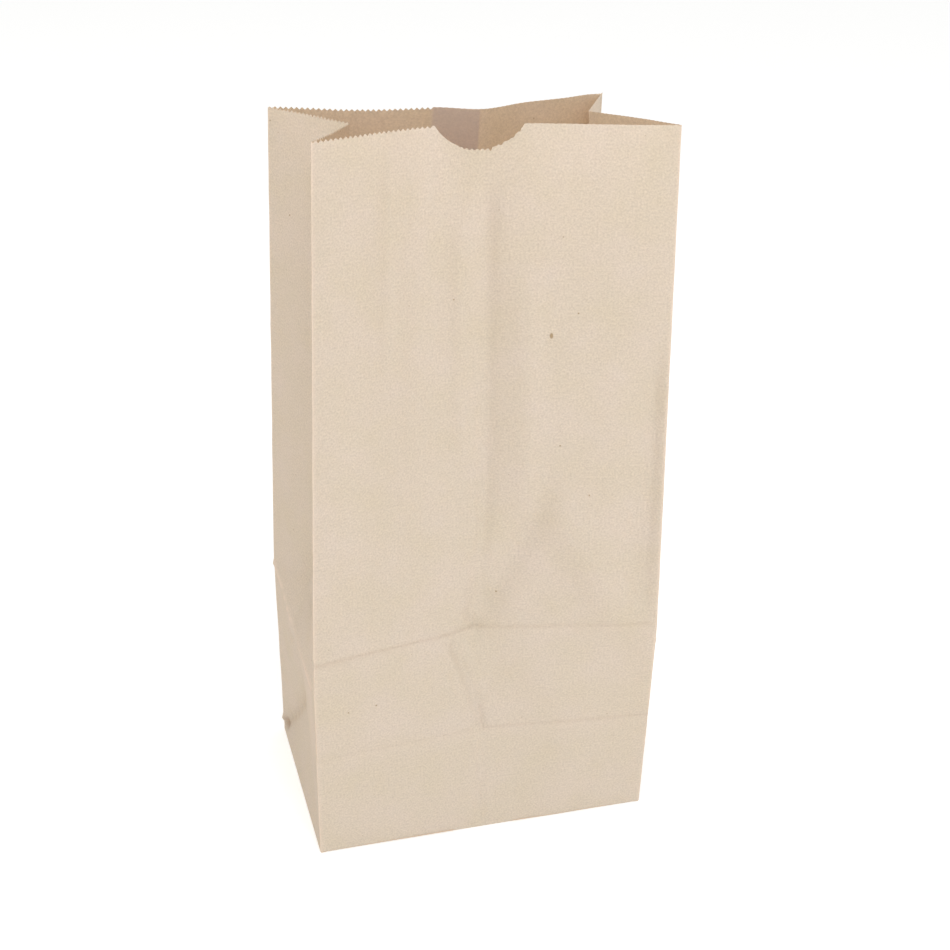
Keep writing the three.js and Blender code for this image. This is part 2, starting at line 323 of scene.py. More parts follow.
# Soft buckles: a broken line on the sheet, how far its middle stands out, and its half width. They die
# away beside the folds.
BUCKLE_FADE = 5
BUCKLES = (
    # The long soft centre crease of the front panel, fading upward, with a swell on each side.
    ((on_front(66.5, 100), on_front(69.5, 160), on_front(69.3, 208), on_front(69, 252)), -1.3, 3.8),
    ((on_front(83.5, 140), on_front(83.3, 186), on_front(82.5, 218)), 1.2, 6.0),
    ((on_front(59.5, 160), on_front(59.7, 200), on_front(59.6, 241)), 0.78, 4.0),
    ((on_front(65.5, 122), on_front(65.2, 152)), 0.78, 2.6),
    # The diagonal buckle from the centre of the crease up to the right, and the swell beside it.
    ((on_front(65.5, 89), on_front(78, 115), on_front(91, 141)), -1.9, 5.5),
    ((on_front(94.5, 138), on_front(107, 115), on_front(119, 95)), 2, 8.0),
    # The right edge is pressed in above the crease.
    ((on_front(124, 98), on_front(126, 130), on_front(129, 186)), -1.7, 8.0),
    # A small dent just above the middle of the crease.
    ((on_front(63, 95), on_front(65.5, 88)), -0.85, 1.8),
    # Between the two creases: the curved buckle left of the centre.
    ((on_front(56.5, 81), on_front(63, 62), on_front(65.8, 54), on_front(66.8, 45.5)), -1.2, 1.9),
    ((on_front(50.5, 84), on_front(57, 72), on_front(61, 60)), 1, 4.0),
    ((on_front(84, 72), on_front(98, 60)), 0.78, 8.0),
    # Below the lower crease.
    ((on_front(66, 22), on_front(66.2, 3)), -0.62, 2.2),
    ((on_front(64.6, 39), on_front(64.5, 27)), 0.54, 1.6),
    ((on_front(34, 34), on_front(40, 14)), 0.54, 9.0),
    ((on_front(104, 30), on_front(96, 12)), 0.78, 9.0),
    # Long faint waves of the left half.
    ((on_front(31.2, 262), on_front(30.4, 200)), -0.54, 3.2),
    ((on_front(42, 120), on_front(44, 235)), -0.46, 6.0),
    ((on_front(20, 110), on_front(19, 240)), 0.54, 7.0),
    ((on_front(52, 262), on_front(51, 248)), 0.46, 5.0),
    # The back panel.
    (((S_BACK_RIGHT + 0.7 * WIDTH, 90), (S_BACK_RIGHT + 0.67 * WIDTH, 200)), 0.5, 8.0),
    (((S_BACK_RIGHT + 0.3 * WIDTH, 60), (S_BACK_RIGHT + 0.26 * WIDTH, 190)), -0.7, 10.0),
    (((S_BACK_RIGHT + 0.12 * WIDTH, 92), (S_BACK_RIGHT + 0.34 * WIDTH, 130)), 0.6, 7.0),
    (((S_BACK_LEFT - 0.3 * WIDTH, 80), (S_BACK_LEFT - 0.22 * WIDTH, 180)), -0.7, 11.0),
    (((S_BACK_LEFT - 0.06 * WIDTH, 95), (S_BACK_LEFT - 0.2 * WIDTH, 120)), 0.5, 6.0),
    # Both gussets.
    (((S_BACK_LEFT + 40, 102), (S_BACK_LEFT + 58, 97)), -2.2, 7.0),
    (((S_BACK_LEFT + 16, 110), (S_BACK_LEFT + 20, 210)), 0.5, 8.0),
    (((S_FRONT_LEFT - 5, 82), (S_FRONT_LEFT - 4, 120)), 0.4, 2.5),
    (((S_BACK_RIGHT - 18, 110), (S_BACK_RIGHT - 15, 220)), 0.5, 8.0),
    (((S_FRONT_RIGHT + 15, 120), (S_FRONT_RIGHT + 19, 200)), -0.6, 7.0),
)

# Pressed crease lines: a line on the sheet, how far it is raised or sunk, and its half width.
CREASES = (
    ((on_front(1, HALF_D), on_front(64, HALF_D)), -0.05, 0.8),
    ((on_front(68, HALF_D), on_front(132, HALF_D)), -0.10, 0.8),
    ((on_front(1, DEPTH - 1), on_front(64, DEPTH)), -0.14, 0.8),
    ((on_front(64, DEPTH), on_front(132, DEPTH)), -0.10, 0.8),
    (((S_BACK_RIGHT + 1, HALF_D), (S_END, HALF_D)), -0.14, 0.9),
    (((S_BACK_RIGHT + 1, DEPTH), (S_END, DEPTH)), -0.18, 0.9),
    (((0, HALF_D), (S_BACK_LEFT - 1, HALF_D)), -0.14, 0.9),
    (((0, DEPTH), (S_BACK_LEFT - 1, DEPTH)), -0.18, 0.9),
)

# The line where each gusset still stands out above its lower part: from the back edge nearly level to
# the middle, then a little lower to the front edge.
RIDGE_HEIGHT = 0.9
RIDGE_HALF = 1.4
LEFT_RIDGE = (
    (S_BACK_LEFT + 1, 84),
    (S_BACK_LEFT + 22, 84),
    (S_BACK_LEFT + 33, 80),
    (S_BACK_LEFT + 40, 76.5),
    (S_BACK_LEFT + 66, 75.5),
    (S_FRONT_LEFT - 3, 74.5),
)
RIGHT_RIDGE = (
    (S_FRONT_RIGHT + 2, 79),
    (S_FRONT_RIGHT + 22, 79),
    (S_FRONT_RIGHT + 44, 78),
    (S_BACK_RIGHT - 20, 84),
    (S_BACK_RIGHT - 1, 85),
)

# The valleys in each gusset, with their depths: up from both bottom corners to the apex. Above a valley
# the paper turns down into it sharply, and below it the lower triangle slopes gently.
VALLEYS = (
    (((S_BACK_LEFT + 1, 2.5), (S_BACK_LEFT + 20, 20), (S_BACK_LEFT + 40, 40), (S_BACK_LEFT + 46, 47)), 2.0),
    (((S_FRONT_LEFT - 2, 2.5), (S_FRONT_LEFT - 22, 22), (S_FRONT_LEFT - 38, 39)), 0.5),
    (((S_FRONT_RIGHT + 2, 2.5), (S_FRONT_RIGHT + 22, 22), (S_FRONT_RIGHT + 42, 43)), 0.9),
    (((S_BACK_RIGHT - 2, 2.5), (S_BACK_RIGHT - 22, 22), (S_BACK_RIGHT - 42, 43)), 0.9),
)
VALLEY_STEEP = 3.2
VALLEY_GENTLE = 11.0
VALLEY_FADE = 8
# The upper part of the valley of the left gusset bends back towards the ridge.
HOLLOW = ((S_BACK_LEFT + 47, 47), (S_BACK_LEFT + 54, 54), (S_BACK_LEFT + 47, 60), (S_BACK_LEFT + 30, 63))
HOLLOW_DEPTH = 1.4
HOLLOW_HALF = 3.0

# Painted light on the gussets' lower part, where it stands out to the light: the patches' places, how
# strong they are, and their half width. All have the same half height.
LIGHT_PATCHES = (((S_FRONT_LEFT - 14, 60), 0.45, 9.0), ((S_FRONT_RIGHT + 16, 58), 0.4, 9.0))
LIGHT_PATCH_HALF_UP = 17

# The fold at the bottom back left corner has sprung open a little, and the front edge of the left
# gusset has a small nick at the crease. Each mark has a place, a height and a half width.
# The open corner's gap is also darkened with painted shadow, through CORNER_DARK.
OPEN_CORNER = ((S_BACK_LEFT + 3.4, 4.6), -2.4, 2.0)
OPEN_LIP = ((S_BACK_LEFT + 1.2, 6.6), 1.5, 1.6)
NICK = ((S_FRONT_LEFT - 1.2, DEPTH - 1), -0.7, 1.1)

# Waves of the sheet itself: height, seed and wavelength. The folded edges waver in another one.
WAVES = ((0.16, 7, 46), (0.045, 11, 17))
EDGE_WAVE = (0.05, 5, 26)


def waviness(s, v, seed, wavelength):
    """A smooth random swell made of a few long waves, the same on every run."""
    rng = np.random.default_rng(seed)
    total = np.zeros_like(s)
    for _ in range(9):
        angle = rng.uniform(-0.6, 0.6) + (math.pi / 2 if rng.random() < 0.3 else 0)
        length = wavelength * rng.uniform(0.7, 1.6)
        phase = rng.uniform(0, 2 * math.pi)
        total += np.sin((s * math.cos(angle) + v * math.sin(angle)) * 2 * math.pi / length + phase)
    return total / 3


def in_gusset(s):
    """1 inside the gussets, falling to 0 at their edges."""
    left = smooth_step((s - S_BACK_LEFT) / 2) * smooth_step((S_FRONT_LEFT - s) / 2)
    right = smooth_step((s - S_FRONT_RIGHT) / 2) * smooth_step((S_BACK_RIGHT - s) / 2)
    return np.maximum(left, right)


def relief(s, v):
    """How far the sheet stands out of its folded form at each point, outward of the bag."""
    from_fold = np.min([np.abs(s - fold) for fold in S_FOLDS], axis=0)
    total = np.zeros_like(s)
    for line, height, half in BUCKLES:
        total += height * bell(line_distance(s, v, line), half) * smooth_step(from_fold / BUCKLE_FADE)
    for line, height, half in CREASES:
        total += height * bell(line_distance(s, v, line), half)
    for line in (LEFT_RIDGE, RIGHT_RIDGE):
        total += RIDGE_HEIGHT * bell(line_distance(s, v, line), RIDGE_HALF) * in_gusset(s)
    above_valley = v > np.min([np.abs(s - edge) for edge in S_EDGES], axis=0)
    slope = np.where(above_valley, VALLEY_STEEP, VALLEY_GENTLE)
    for line, depth in VALLEYS:
        fall = np.exp(-line_distance(s, v, line) / slope)
        total -= depth * fall * smooth_step(v / VALLEY_FADE) * in_gusset(s)
    total -= HOLLOW_DEPTH * bell(line_distance(s, v, HOLLOW), HOLLOW_HALF)
    for (mark_s, mark_v), height, half in (OPEN_CORNER, OPEN_LIP, NICK):
        total += height * bell(np.hypot(s - mark_s, v - mark_v), half)
    free = smooth_step(from_fold / 8) * smooth_step(v / 12)
    for height, seed, wavelength in WAVES:
        total += height * waviness(s, v, seed, wavelength) * free
    height, seed, wavelength = EDGE_WAVE
    beside_fold = (1 - smooth_step(from_fold / 3)) * smooth_step(v / 10)
    total += height * waviness(v * 1.3, s * 0.2, seed, wavelength) * beside_fold
    return total


# The lap of the back seam: the inner margin is pushed in and the outer one out, over a short ramp.
LAP_STEP = 0.11
LAP_RAMP = 2.5


def lap_shift(s):
    """How far the lapped margins stand out of the back panel."""
    inner = 1 - smooth_step((s - LAP_WIDTH) / LAP_RAMP)
    outer = smooth_step((s - (S_END - LAP_WIDTH - LAP_RAMP)) / LAP_RAMP)
    return LAP_STEP * (outer - inner)


# ---------------------------------------------------------------------------------------------------
# The cut edges.

# Height of the teeth in shares of a clear tooth: on the left of the bag, on the hidden margin of the
# seam, at the start of the front panel's rough right half and its fall per panel width, and on the
# right of the bag.
CLEAR_TEETH = 1.0
MARGIN_TEETH = 0.1
ROUGH_TEETH = 0.3
ROUGH_FALL = 0.12
BLUNT_TEETH = 0.12
ROUGH_START = 0.55
TEETH_UNEVEN = 0.16
FLAP_TEETH = 0.8


def triangle_wave(x):
    """Rises from 0 to 1 and back over each whole number."""
    return np.abs(2 * (x - np.floor(x + 0.5)))


def saw_strength(s, tooth_height):
    """The blade left clear teeth on the left of the bag and only a rough edge on the right."""
    share = (s - S_FRONT_LEFT) / WIDTH
    rough = (share > ROUGH_START) & (s <= S_FRONT_RIGHT)
    strength = np.where(s < LAP_WIDTH, MARGIN_TEETH, CLEAR_TEETH)
    strength = np.where(rough, ROUGH_TEETH - ROUGH_FALL * share, strength)
    strength = np.where(s > S_FRONT_RIGHT, BLUNT_TEETH, strength)
    return strength * tooth_height


def notch_drop(across, depth):
    """The circular bite of the thumb notch, below the straight top line."""
    radius = (NOTCH_HALF**2 + depth**2) / (2 * depth)
    reach = np.clip(np.abs(across - NOTCH_MIDDLE), 0, NOTCH_HALF)
    return np.sqrt(radius**2 - reach**2) - (radius - depth)


# The notch's teeth start and end at these places, from -1 at its left end to 1 at its right end.
FINE_START = -0.45
FINE_END = 0.25
TORN_START = 0.1
TORN_END = 0.93
FINE_HEIGHT = 0.75


def torn_teeth(across, pitch):
    """The notch's left flank is clean, its bottom finely toothed and its right flank torn in steps."""
    place = (across - NOTCH_MIDDLE) / NOTCH_HALF
    fine_on = smooth_step((place - FINE_START) / 0.12) * (1 - smooth_step((place - FINE_END) / 0.15))
    torn_on = smooth_step((place - TORN_START) / 0.2) * (1 - smooth_step((place - TORN_END) / 0.06))
    fine = FINE_HEIGHT * triangle_wave(across / (pitch * 0.93))
    steps = np.mod(across / (pitch * 0.95) + 0.15, 1) * (0.75 + 0.35 * np.sin(across * 1.9))
    torn = steps * 0.95 + triangle_wave(across / (pitch * 0.53)) * 0.35
    return np.where(np.abs(place) < 1, fine_on * fine + torn_on * torn, 0)


def top_height(s, size):
    """Height of the cut top edge up the sheet."""
    pitch = size.tooth_pitch / MM
    knots = np.arange(0, S_END + 3, 1.5)
    draws = np.random.default_rng(3).uniform(-1, 1, len(knots))
    uneven = 1 + TEETH_UNEVEN * np.interp(s, knots, draws)
    across = s - S_FRONT_LEFT
    in_notch = np.abs(across - NOTCH_MIDDLE) < NOTCH_HALF
    saw = triangle_wave(s / pitch) * saw_strength(s, size.tooth_height / MM) * uneven
    teeth = np.where(in_notch, torn_teeth(across, pitch), saw)
    notch = np.where(in_notch, notch_drop(across, size.notch_depth / MM), 0)
    return HEIGHT - notch - teeth


def flap_depth(s, size):
    """Depth of the cut bottom edge below the bottom fold. The same blade cut it."""
    teeth = triangle_wave(s / (size.tooth_pitch / MM) + 0.5)
    return FLAP - teeth * FLAP_TEETH * size.tooth_height / MM


# ---------------------------------------------------------------------------------------------------
# The mesh: a grid of sheet columns and rows, thickened to paper.

COLUMN_STEP = 0.98
NOTCH_COLUMN_STEP = 0.35
FOLD_COLUMNS = np.array((-0.75, -0.35, 0, 0.35, 0.75))

# Heights of the wall's rows, closer at the creases, then the shares of the way on to the cut edge, and
# the shares of the flaps' depth.
WALL_ROWS = np.concatenate([
    (0, 0.25, 0.5, 0.8, 1.2, 1.8, 2.7, 4, 6, 9, 13, 18, 23.5, 29, 34, 38, 40.6, 42, 42.9),
    HALF_D + np.array((0, 0.75, 1.7, 3, 5.4, 9.5, 14.5, 19.5, 24)),
    np.arange(70.5, 86, 2.2),
    DEPTH + np.array((-1.1, -0.4, 0.4, 1.1, 2.4, 4, 5.8, 7.6, 9.6, 12, 15)),
    np.arange(107, 262, 6),
])
TOP_ROWS = np.array((0.22, 0.42, 0.6, 0.75, 0.87, 0.95, 1.0))
FLAP_ROWS = np.array((0.3, 0.8, 1.6, 2.6, 4.4, 10, 30)) / FLAP


def sheet_columns():
    """Column places along the sheet: two to a tooth, closer in the notch and beside each fold."""
    regular = np.arange(0, S_END, COLUMN_STEP)
    notch_low = S_FRONT_LEFT + NOTCH_LEFT * WIDTH
    notch_high = S_FRONT_LEFT + NOTCH_RIGHT * WIDTH
    fine = np.arange(notch_low, notch_high + 0.1, NOTCH_COLUMN_STEP)
    regular = regular[(regular < notch_low - 0.3) | (regular > notch_high + 0.3)]
    folds = np.concatenate([fold + FOLD_COLUMNS for fold in S_FOLDS])
    clear = np.min(np.abs(regular[:, None] - folds[None, :]), axis=1) > 0.25
    columns = np.concatenate([regular[clear], fine, folds, (0, S_END)])
    columns = np.unique(np.round(columns, 4))
    close = np.diff(columns, append=1e9) < 0.12
    return columns[~close | np.isin(columns, S_FOLDS)]


class Sheet:
    """Points and quads of the sheet's middle surface, collected patch by patch."""

    def __init__(self):
        self.s = []
        self.v = []
        self.home = []
        self.quads = []
        self.count = 0

    def add_points(self, s, v, home):
        """Adds points and returns their numbers, in the shape they came in."""
        first = self.count
        self.s.append(np.ravel(s))
        self.v.append(np.ravel(v))
        self.home.append(np.ravel(home))
        self.count += np.size(s)
        return first + np.arange(np.size(s)).reshape(np.shape(s))

    def add_grid(self, index):
        """Quads of a grid of points with rows going up and columns along the sheet, facing outward."""
        quads = np.stack([index[:-1, :-1], index[:-1, 1:], index[1:, 1:], index[1:, :-1]], axis=-1)
        self.quads.append(quads.reshape(-1, 4))

    def arrays(self):
        """The places on the sheet, the panels and the quads, as whole arrays."""
        return tuple(np.concatenate(part) for part in (self.s, self.v, self.home, self.quads))


def lay_out_sheet(size):
    """The whole sheet as one wall grid, with a flap grid below each panel."""
    sheet = Sheet()
    columns = sheet_columns()
    panel = np.clip(np.searchsorted(PANEL_ENDS, columns, side="right") - 1, 0, 4)
    top = top_height(columns, size)
    last = WALL_ROWS[-1]
    heights = [np.full_like(columns, row) for row in WALL_ROWS]
    heights += [last + (top - last) * share for share in TOP_ROWS]
    heights = np.stack(heights)
    s_grid = np.broadcast_to(columns, heights.shape)
    wall = sheet.add_points(s_grid, heights, np.broadcast_to(panel, heights.shape))
    sheet.add_grid(wall)
    depth = flap_depth(columns, size)
    for number in range(5):
        inside = (columns >= PANEL_ENDS[number] - 1e-3) & (columns <= PANEL_ENDS[number + 1] + 1e-3)
        own = columns[inside]
        shares = np.append(FLAP_ROWS, 1.0)[::-1]
        drop = -shares[:, None] * depth[inside][None, :]
        flap = sheet.add_points(np.broadcast_to(own, drop.shape), drop, np.full(drop.shape, number))
        sheet.add_grid(np.concatenate([flap, wall[:1, inside]]))
    return sheet.arrays()


def point_normals(place, quads):
    """Outward normals of the middle surface, the mean of the faces round each point."""
    across = place[quads[:, 2]] - place[quads[:, 0]]
    up = place[quads[:, 3]] - place[quads[:, 1]]
    face = np.cross(across, up)
    total = np.zeros_like(place)
    for corner in range(4):
        np.add.at(total, quads[:, corner], face)
    return total / np.maximum(np.linalg.norm(total, axis=1, keepdims=True), 1e-12)


def rim_quads(quads, count):
    """Quads that close the paper's cut edges between its outer and inner face."""
    edges = np.concatenate([quads[:, (k, (k + 1) % 4)] for k in range(4)])
    key = edges[:, 0].astype(np.int64) * count + edges[:, 1]
    back = edges[:, 1].astype(np.int64) * count + edges[:, 0]
    free = edges[~np.isin(key, back)]
    return np.stack([free[:, 1], free[:, 0], free[:, 0] + count, free[:, 1] + count], axis=1)


def fit_to_frame(place):
    """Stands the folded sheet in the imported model's own box."""
    low = place.min(0)
    high = place.max(0)
    cad_low = np.array(CAD_LOW) / MM
    cad_high = np.array(CAD_HIGH) / MM
    return cad_low + (place - low) * (cad_high - cad_low) / (high - low)


def add_attribute(mesh, name, kind, values):
    """Gives each point of the mesh a number or a place that the material reads."""
    field = {"FLOAT": "value", "FLOAT_VECTOR": "vector"}[kind]
    layer = mesh.attributes.new(name, kind, "POINT")
    layer.data.foreach_set(field, np.ravel(values).astype(np.float32))


# Edges that turn more sharply than this are shaded hard. The inner face takes its pattern from this far
# behind the outer one's, so that the two faces differ.
SHARP_ANGLE = math.radians(52)
INNER_PATTERN = 40.0


def paper_mesh(size):
    """The mesh of the whole bag, with the attributes that its material reads."""
    s, v, home, quads = lay_out_sheet(size)
    place = rounded_place(s, v, home)
    normal = point_normals(place, quads)
    push = np.where(v >= 0, relief(s, v), 0) + lap_shift(s)
    place = place + normal * push[:, None]
    normal = point_normals(place, quads)
    half = size.paper / MM / 2
    count = len(place)
    both = np.concatenate([place + normal * half, place - normal * half])
    both = fit_to_frame(both)
    both *= np.array((size.width / WIDTH, size.depth / DEPTH, size.height / HEIGHT))
    faces = np.concatenate([quads, quads[:, ::-1] + count, rim_quads(quads, count)])
    mesh = bpy.data.meshes.new("kraft_paper_bag")
    mesh.vertices.add(len(both))
    mesh.vertices.foreach_set("co", both.ravel())
    mesh.loops.add(faces.size)
    mesh.loops.foreach_set("vertex_index", faces.ravel().astype(np.int32))
    mesh.polygons.add(len(faces))
    mesh.polygons.foreach_set("loop_start", np.arange(0, faces.size, 4, dtype=np.int32))
    mesh.update(calc_edges=True)
    mesh.validate()
    mesh.shade_smooth()
    mesh.set_sharp_from_angle(angle=SHARP_ANGLE)
    flat = np.stack([s, v, np.zeros_like(s)], axis=1)
    flat_in = np.stack([s, v, np.full_like(s, INNER_PATTERN)], axis=1)
    add_attribute(mesh, "flat_sheet", "FLOAT_VECTOR", np.concatenate([flat, flat_in]))
    add_attribute(mesh, "wear_and_highlight", "FLOAT", np.tile(wear_and_highlight(s, v), 2))
    add_attribute(mesh, "painted_shade", "FLOAT", np.tile(painted_shade(s, v), 2))
    add_attribute(mesh, "glued_lap", "FLOAT", np.tile(glued_lap(s), 2))
    add_attribute(mesh, "inside", "FLOAT", np.repeat((0.0, 1.0), count))
    return mesh


# Wear and painted highlight: how strong each is and its half width. On the folded edges it is partly wear
# and partly painted highlight; on the gussets' ridges and just below each crease it is painted highlight.
EDGE_WEAR_AND_HIGHLIGHT = (0.9, 0.8)
RIDGE_HIGHLIGHT = (1.8, 0.8)
CREASE_HIGHLIGHT = (0.2, 0.9)
CREASE_HIGHLIGHT_BELOW = 1.7

# Painted shade in a crease for each millimetre of its depth, and its half width. In the valleys the painted
# shade is stronger near the bottom corners and dies away upward.
CREASE_DARK = (3.0, 0.65)
VALLEY_DARK = 0.22
VALLEY_DARK_CORNER = 0.3
VALLEY_DARK_UP = 16
VALLEY_DARK_HALF = 1.3
# Painted shadow in the sprung-open bottom back left corner: how dark it is, and how much narrower it is up
# the sheet.
CORNER_DARK = 2.3
CORNER_SQUASH = 1.3

# The edge of the lap's shade is this soft.
LAP_BLUR = 1.6


def wear_and_highlight(s, v):
    """Partly wear and partly painted highlight on the folded edges, and painted highlight on the gussets'
    ridges, just below each crease and on light patches: 1 on a line, falling to 0 beside it.
    """
    strength, half = EDGE_WEAR_AND_HIGHLIGHT
    wear_highlight = strength * bell(np.min([np.abs(s - edge) for edge in S_EDGES], axis=0), half)
    strength, half = RIDGE_HIGHLIGHT
    for line in (LEFT_RIDGE, RIGHT_RIDGE):
        wear_highlight = np.maximum(wear_highlight, strength * bell(line_distance(s, v, line), half) * in_gusset(s))
    strength, half = CREASE_HIGHLIGHT
    for line, _, _ in CREASES:
        line_below = [(place, up - CREASE_HIGHLIGHT_BELOW) for place, up in line]
        wear_highlight = np.maximum(wear_highlight, strength * bell(line_distance(s, v, line_below), half))
    for (mark_s, mark_v), strength, half in LIGHT_PATCHES:
        away = np.hypot((s - mark_s) / half, (v - mark_v) / LIGHT_PATCH_HALF_UP)
        wear_highlight = np.maximum(wear_highlight, strength * bell(away, 1))
    return wear_highlight


def painted_shade(s, v):
    """Painted shade: 1 in the sharp bottom of a pressed crease, in the gussets' valleys and in the open
    bottom corner, where shade falls.
    """
    dark = np.zeros_like(s)
    strength, half = CREASE_DARK
    for line, height, _ in CREASES:
        dark = np.maximum(dark, strength * abs(height) * bell(line_distance(s, v, line), half))
    strength = VALLEY_DARK + VALLEY_DARK_CORNER * np.exp(-v / VALLEY_DARK_UP)
    for line, depth in VALLEYS:
        fall = np.exp(-line_distance(s, v, line) / VALLEY_DARK_HALF)
        dark = np.maximum(dark, depth * strength * fall * in_gusset(s))
    (mark_s, mark_v), _, half = OPEN_CORNER
    gap = np.hypot(s - mark_s, (v - mark_v) * CORNER_SQUASH)
    return np.maximum(dark, CORNER_DARK * bell(gap, half))


def glued_lap(s):
    """1 where two plies of the back seam lie glued together."""
    inner = 1 - smooth_step((s - LAP_WIDTH) / LAP_BLUR + 0.5)
    outer = smooth_step((s - (S_END - LAP_WIDTH)) / LAP_BLUR + 0.5)
    return np.maximum(inner, outer)


# ---------------------------------------------------------------------------------------------------
# Material.

def to_linear(colour):
    """An sRGB hex colour as linear red, green, blue and alpha."""
    parts = [int(colour[k : k + 2], 16) / 255 for k in (1, 3, 5)]
    return (*[c / 12.92 if c <= 0.04045 else ((c + 0.055) / 1.055) ** 2.4 for c in parts], 1.0)


def add_node(tree, kind, settings=None, links=None):
    """Adds a node, sets its properties and sockets, and links its inputs, by name or socket number."""
    node = tree.nodes.new(kind)
    for key, value in (settings or {}).items():
        if isinstance(key, str) and hasattr(node, key):
            setattr(node, key, value)
        else:
            node.inputs[key].default_value = value
    for key, source in (links or {}).items():
        tree.links.new(source, node.inputs[key])
    return node


# A colour Mix node's sockets go by number, since their names come again for its other kinds of data.
UNDER = 6
OVER = 7
MIXED = 2

# Sizes of the paper's pattern: pulp clouds, fibre clusters, single bundles, the spacing of the bark
# specks, and the grain that is felt.
CLOUD_SIZE = 20.0
CLUSTER_SIZE = 2.4
BUNDLE_SIZE = 0.72
SPECK_SPACING = 5.5
FELT_GRAIN = 0.9

# The largest specks' radius, in shares of their spacing, and the one large fleck of the front panel
# with its half size.
SPECK_RADIUS = 0.075
FLECK_PLACE = (S_FRONT_LEFT + 91.5, 203.8, 0.0)
FLECK_HALF = (0.65, 1.1, 30.0)

# How much of the lap's greyer shade shows on the outer and on the inner face.
LAP_SHADE_OUTSIDE = 0.08
LAP_SHADE_INSIDE = 0.4


def kraft_paper(finish):
    """Unbleached kraft paper of about 57 g/m2, machine finished.

    The pulp settles unevenly on the wire, so the eye sees soft pinkish and yellowish clouds, a fine
    salt-and-pepper grain of fibre bundles and a few dark flecks of bark. The surface is matt, and the
    sheet is thin enough to glow a little when light falls through it.
    """
    material = bpy.data.materials.new("kraft_paper_machine_finished")
    material.use_nodes = True
    tree = material.node_tree
    tree.nodes.clear()
    shader = add_node(tree, "ShaderNodeBsdfPrincipled",
                      {"Roughness": 0.88, "IOR": 1.5, "Specular IOR Level": 0.25})
    glow = add_node(tree, "ShaderNodeBsdfTranslucent", {"Color": finish.held_to_light})
    thin = add_node(tree, "ShaderNodeMixShader", {0: finish.translucence},
                    {1: shader.outputs["BSDF"], 2: glow.outputs["BSDF"]})
    add_node(tree, "ShaderNodeOutputMaterial", None, {"Surface": thin.outputs["Shader"]})
    sheet, wear_highlight, painted_shade_attr, lap, inner = [
        add_node(tree, "ShaderNodeAttribute", {"attribute_name": name})
        for name in ("flat_sheet", "wear_and_highlight", "painted_shade", "glued_lap", "inside")
    ]
    place = {"Vector": sheet.outputs["Vector"]}

    # Clouds of the pulp, about 20 mm across, from pinkish to yellowish.
    cloud_noise = add_node(tree, "ShaderNodeTexNoise",
                           {"Scale": 1 / CLOUD_SIZE, "Detail": 3.0, "Roughness": 0.6}, place)
    cloud_share = add_node(tree, "ShaderNodeMapRange", {"From Min": 0.3, "From Max": 0.7},
                           {"Value": cloud_noise.outputs["Fac"]})
    clouds = add_node(tree, "ShaderNodeMix",
                      {"data_type": "RGBA", UNDER: finish.paper_pink, OVER: finish.paper_yellow},
                      {"Factor": cloud_share.outputs["Result"]})
    # Mottling of fibre clusters, 2 to 3 mm, and the grain of single bundles. Kraft bundles are about
    # 0.3 mm across, and are drawn 0.7 mm across so that they show.
    cluster_noise = add_node(tree, "ShaderNodeTexNoise",
                             {"Scale": 1 / CLUSTER_SIZE, "Detail": 2.0, "Roughness": 0.6}, place)
    cluster_tone = add_node(tree, "ShaderNodeMapRange",
                            {"From Min": 0.25, "From Max": 0.75, "To Min": 0.965, "To Max": 1.035},
                            {"Value": cluster_noise.outputs["Fac"]})
    bundle_noise = add_node(tree, "ShaderNodeTexNoise",
                            {"Scale": 1 / BUNDLE_SIZE, "Detail": 1.0, "Roughness": 0.6}, place)
    bundle_tone = add_node(tree, "ShaderNodeMapRange",
                           {"From Min": 0.25, "From Max": 0.75, "To Min": 0.84, "To Max": 1.16},
                           {"Value": bundle_noise.outputs["Fac"]})
    tone = add_node(tree, "ShaderNodeMath", {"operation": "MULTIPLY"},
                    {0: cluster_tone.outputs["Result"], 1: bundle_tone.outputs["Result"]})
    grained = add_node(tree, "ShaderNodeVectorMath", {"operation": "SCALE"},
                       {0: clouds.outputs[MIXED], "Scale": tone.outputs["Value"]})
    # Dark specks of bark, a few to each 10 square centimetres, up to 0.8 mm across.
    cells = add_node(tree, "ShaderNodeTexVoronoi", {"Scale": 1 / SPECK_SPACING}, place)
    chance = add_node(tree, "ShaderNodeSeparateColor", None, {0: cells.outputs["Color"]})
    speck_radius = add_node(tree, "ShaderNodeMapRange", {"From Min": 0.3, "To Max": SPECK_RADIUS},
                            {"Value": chance.outputs["Red"]})
    in_speck = add_node(tree, "ShaderNodeMath", {"operation": "SUBTRACT"},
                        {0: speck_radius.outputs["Result"], 1: cells.outputs["Distance"]})
    speck_share = add_node(tree, "ShaderNodeMapRange", {"From Max": 0.02},
                           {"Value": in_speck.outputs["Value"]})
    specked = add_node(tree, "ShaderNodeMix", {"data_type": "RGBA", OVER: finish.speck},
                       {"Factor": speck_share.outputs["Result"], UNDER: grained.outputs["Vector"]})
    # The one large fleck.
    from_fleck = add_node(tree, "ShaderNodeVectorMath", {"operation": "SUBTRACT", 1: FLECK_PLACE},
                          {0: sheet.outputs["Vector"]})
    in_fleck = add_node(tree, "ShaderNodeVectorMath", {"operation": "DIVIDE", 1: FLECK_HALF},
                        {0: from_fleck.outputs["Vector"]})
    fleck_reach = add_node(tree, "ShaderNodeVectorMath", {"operation": "LENGTH"},
                           {0: in_fleck.outputs["Vector"]})
    fleck_share = add_node(tree, "ShaderNodeMapRange",
                           {"From Min": 0.75, "From Max": 1.1, "To Min": 0.85, "To Max": 0.0},
                           {"Value": fleck_reach.outputs["Value"]})
    flecked = add_node(tree, "ShaderNodeMix", {"data_type": "RGBA", OVER: finish.speck},
                       {"Factor": fleck_share.outputs["Result"], UNDER: specked.outputs[MIXED]})
